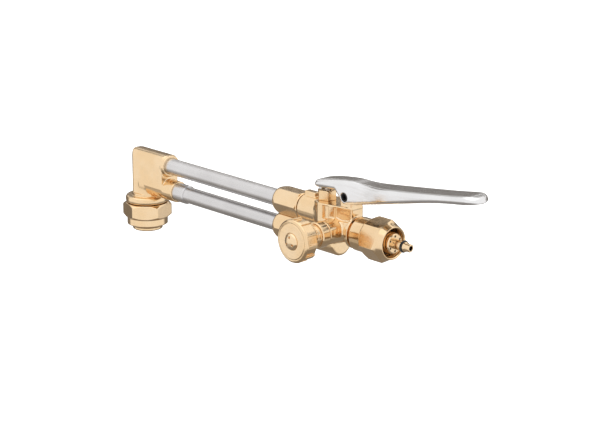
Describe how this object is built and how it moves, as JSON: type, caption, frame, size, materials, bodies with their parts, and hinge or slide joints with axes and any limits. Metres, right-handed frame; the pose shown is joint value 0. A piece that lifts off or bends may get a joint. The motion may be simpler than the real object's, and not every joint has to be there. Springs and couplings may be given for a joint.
{
  "type": "cutting attachment",
  "caption": "Oxy-fuel cutting attachment with a right-angle head, twin gas tubes, valve body, preheat knob, cutting lever and hexagonal handle coupling.",
  "frame": {"origin": "on the coupling axis, in the plane of the coupling nut's rear face", "axes": "+X along the coupling axis, out of the attachment and into the torch handle; -Y towards the preheat knob; +Z towards the cutting lever"},
  "size_m": [0.2854, 0.0539, 0.0741],
  "materials": {
    "brass_forged": "polished forging",
    "brass_turned": "bright turned",
    "stainless": "drawn and brushed",
    "spring_steel": "bright",
    "chrome_lever": "bright plated pressing",
    "black_steel": "blackened",
    "rubber": "smooth",
    "ptfe": "matt"
  },
  "bodies": {
    "valve_body": {"torch_head": "brass_forged", "upper_tube": "stainless", "lower_tube": "stainless", "tube_ferrule": "stainless", "upper_olive": "brass_turned", "lower_olive": "brass_turned", "upper_tube_nut": "brass_turned", "lower_tube_nut": "brass_turned", "valve_body": "brass_forged", "mixer": "brass_turned", "valve_bonnet": "brass_turned", "cutting_spring": "spring_steel", "stem_oring": "rubber", "lever_pin": "black_steel", "packing_nut": "brass_turned", "packing": "ptfe", "cone_end": "brass_turned", "nipple": "brass_turned", "nipple_oring": "rubber", "cone_oring": "rubber"},
    "lever": {"lever": "chrome_lever"},
    "cutting_stem": {"cutting_stem": "stainless", "seat_disc": "rubber"},
    "needle": {"needle_stem": "stainless"},
    "knob": {"knob": "brass_turned", "knob_cap": "brass_turned"},
    "nut_ring": {"nut_ring": "spring_steel"},
    "coupling_nut": {"coupling_nut": "brass_turned"},
    "tip_nut": {"tip_nut": "brass_turned"}
  },
  "joints": [
    {"name": "lever_pivot", "type": "hinge", "parent": "valve_body", "child": "lever", "pos_m": [-0.032, 0, 0.01946], "axis": [0, 1, 0], "range_deg": [0, 8], "stiffness_Nm_per_rad": 1.6, "springref_deg": -8.02},
    {"name": "stem_lift", "type": "slide", "parent": "valve_body", "child": "cutting_stem", "axis": [0, 0, 1], "range_m": [0, 0.0027], "deforming": ["cutting_spring"]},
    {"name": "needle_travel", "type": "slide", "parent": "valve_body", "child": "needle", "axis": [0, -1, 0], "range_m": [0, 0.00212]},
    {"name": "knob_turn", "type": "hinge", "parent": "needle", "child": "knob", "pos_m": [-0.0385, -0.0375, 0], "axis": [0, -1, 0], "range_deg": [0, 720]},
    {"name": "nut_float", "type": "slide", "parent": "valve_body", "child": "nut_ring", "axis": [-1, 0, 0], "range_m": [0, 0.0009]},
    {"name": "coupling_spin", "type": "hinge", "parent": "nut_ring", "child": "coupling_nut", "pos_m": [-0.012, 0, 0], "axis": [1, 0, 0], "continuous": true},
    {"name": "tip_nut_spin", "type": "hinge", "parent": "valve_body", "child": "tip_nut", "pos_m": [-0.2085, 0, -0.028], "axis": [0, 0, 1], "continuous": true}
  ],
  "couplings": [
    {"joint": "stem_lift", "follows": "lever_pivot", "m_per_rad": 0.019},
    {"joint": "knob_turn", "follows": "needle_travel", "rad_per_m": 5938.7}
  ]
}
